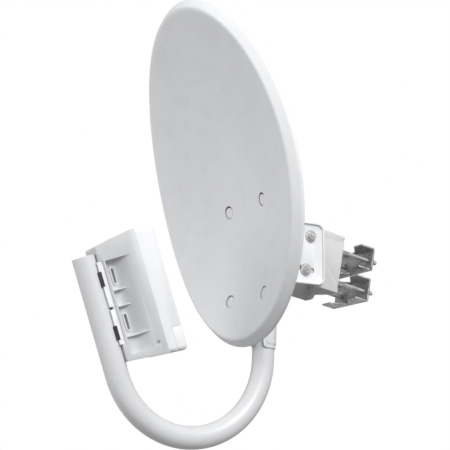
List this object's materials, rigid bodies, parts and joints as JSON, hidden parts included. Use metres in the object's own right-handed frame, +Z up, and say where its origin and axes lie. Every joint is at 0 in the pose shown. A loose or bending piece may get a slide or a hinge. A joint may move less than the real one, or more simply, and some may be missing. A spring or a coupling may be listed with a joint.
{
  "type": "satellite dish",
  "caption": "Oval offset satellite dish with a curved tube arm carrying a radio at its focus, on a tilting bracket with V clamps for a mast.",
  "frame": {"origin": "on the axis of the mast, midway between the two clamp straps", "axes": "+Z up along the mast, the dish looks towards -Y, +X along the tilt pivot"},
  "size_m": [0.4662, 0.5544, 0.753],
  "materials": {
    "dish_paint": "light grey powder coat, fine texture",
    "arm_paint": "off-white powder coat",
    "bracket_paint": "white powder coat",
    "mount_paint": "grey powder coat",
    "galvanised": "hot-dip galvanised, dull",
    "zinc_fastener": "zinc plated",
    "radio_plastic": "fine matt texture",
    "radome_plastic": "fine matt texture",
    "gasket_rubber": "plain black",
    "board": "solder mask",
    "tinned_steel": "tinned",
    "brass_pillar": "plain",
    "jack_plastic": "moulded black"
  },
  "bodies": {
    "mount": {"mast_bracket": "mount_paint", "clamp_bolts": "zinc_fastener", "pivot_bolts": "zinc_fastener", "pivot_washers": "zinc_fastener", "pivot_nuts": "zinc_fastener", "lock_bolts": "zinc_fastener", "lock_washers": "zinc_fastener", "lock_nuts": "zinc_fastener"},
    "upper_clamp": {"clamp_strap_upper": "galvanised", "clamp_washers_upper": "zinc_fastener", "clamp_nuts_upper": "zinc_fastener"},
    "lower_clamp": {"clamp_strap_lower": "galvanised", "clamp_washers_lower": "zinc_fastener", "clamp_nuts_lower": "zinc_fastener"},
    "dish": {"back_bracket": "bracket_paint", "reflector": "dish_paint", "reflector_bolts": "dish_paint", "reflector_washers": "zinc_fastener", "reflector_nuts": "zinc_fastener", "arm_tube": "arm_paint", "arm_saddle": "bracket_paint", "saddle_bolts": "zinc_fastener", "saddle_nuts": "zinc_fastener", "arm_bolts": "zinc_fastener", "arm_nuts": "zinc_fastener", "radio_rail": "radio_plastic", "rail_screws": "zinc_fastener", "rail_inserts": "zinc_fastener", "rail_pads": "gasket_rubber", "radio_screws": "zinc_fastener", "rear_housing": "radio_plastic", "radome": "radome_plastic", "housing_gasket": "gasket_rubber", "housing_screws": "zinc_fastener", "circuit_board": "board", "board_pillars": "brass_pillar", "antenna_screws": "zinc_fastener", "shield_can": "tinned_steel", "antenna_panel": "board", "ethernet_jack": "jack_plastic"},
    "port_cover": {"port_cover": "radome_plastic"}
  },
  "joints": [
    {"name": "elevation", "type": "hinge", "parent": "mount", "child": "dish", "pos_m": [0, -0.0942, 0.03065], "axis": [-1, 0, 0], "range_deg": [-7.8, 12.4]},
    {"name": "upper_clamp_slide", "type": "slide", "parent": "mount", "child": "upper_clamp", "axis": [0, -1, 0], "range_m": [0, 0.026]},
    {"name": "lower_clamp_slide", "type": "slide", "parent": "mount", "child": "lower_clamp", "axis": [0, -1, 0], "range_m": [0, 0.026]},
    {"name": "port_cover_slide", "type": "slide", "parent": "dish", "child": "port_cover", "axis": [0, 0.4989, -0.8666], "range_m": [0, 0.04]}
  ]
}
